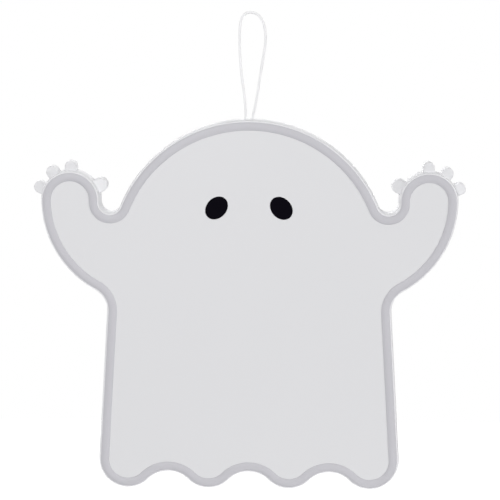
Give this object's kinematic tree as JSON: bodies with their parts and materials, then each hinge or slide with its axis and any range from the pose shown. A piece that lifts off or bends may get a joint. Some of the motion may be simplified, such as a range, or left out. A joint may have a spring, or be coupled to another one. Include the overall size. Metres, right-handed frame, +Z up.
{
  "type": "hanging ghost decoration",
  "caption": "Flat ghost-shaped hanging light with raised hands, a light tube let into its edge, two eyes, a cord loop and a rear battery bay.",
  "frame": {"origin": "underside of the hanging loop's top, where it lies on its hook", "axes": "+X to the right seen from the front, -Y out of the face, +Z up"},
  "size_m": [0.3072, 0.0177, 0.3439],
  "materials": {
    "housing": "white moulded plastic, fine satin",
    "panel": "white moulded plastic, smooth and matt",
    "tube": "milky silicone light diffuser, satin",
    "eye": "black plastic inlay, satin",
    "strip": "white flexible circuit with light-emitting diodes",
    "cell": "cell in a printed film jacket",
    "contact": "nickel-plated spring steel",
    "board": "glass-fibre circuit board with green solder mask",
    "switch": "black moulded plastic",
    "screw": "zinc-plated steel",
    "red_lead": "red insulation",
    "black_lead": "black insulation",
    "cord": "white twisted cord"
  },
  "bodies": {
    "loop": {"hanging_loop": "cord"},
    "casing": {"front_housing": "housing", "face_panel": "panel", "eye_left": "eye", "eye_right": "eye", "diffuser_tube": "tube", "led_strip": "strip", "back_cover": "housing", "battery_1": "cell", "battery_2": "cell", "battery_3": "cell", "positive_contact": "contact", "bridge_contact_left": "contact", "bridge_contact_right": "contact", "negative_contact": "contact", "control_board": "board", "switch_body": "switch", "board_screw_1": "screw", "board_screw_2": "screw", "cover_screw_1": "screw", "cover_screw_2": "screw", "cover_screw_3": "screw", "cover_screw_4": "screw", "cover_screw_5": "screw", "cover_screw_6": "screw", "cover_screw_7": "screw", "cover_screw_8": "screw", "battery_lead_positive": "red_lead", "battery_lead_negative": "black_lead", "strip_lead_positive": "red_lead", "strip_lead_negative": "black_lead", "cord_knot_left": "cord", "cord_knot_right": "cord"},
    "door": {"battery_door": "housing"},
    "slider": {"switch_slider": "switch"}
  },
  "joints": [
    {"name": "casing_swing", "type": "hinge", "parent": "loop", "child": "casing", "pos_m": [0, 0, -0.0742], "axis": [1, 0, 0], "range_deg": [-30, 30]},
    {"name": "battery_door_hinge", "type": "hinge", "parent": "casing", "child": "door", "pos_m": [0, 0.0078, -0.25315], "axis": [-1, 0, 0], "range_deg": [0, 70]},
    {"name": "switch_slide", "type": "slide", "parent": "casing", "child": "slider", "axis": [1, 0, 0], "range_m": [-0.002, 0.002]}
  ]
}
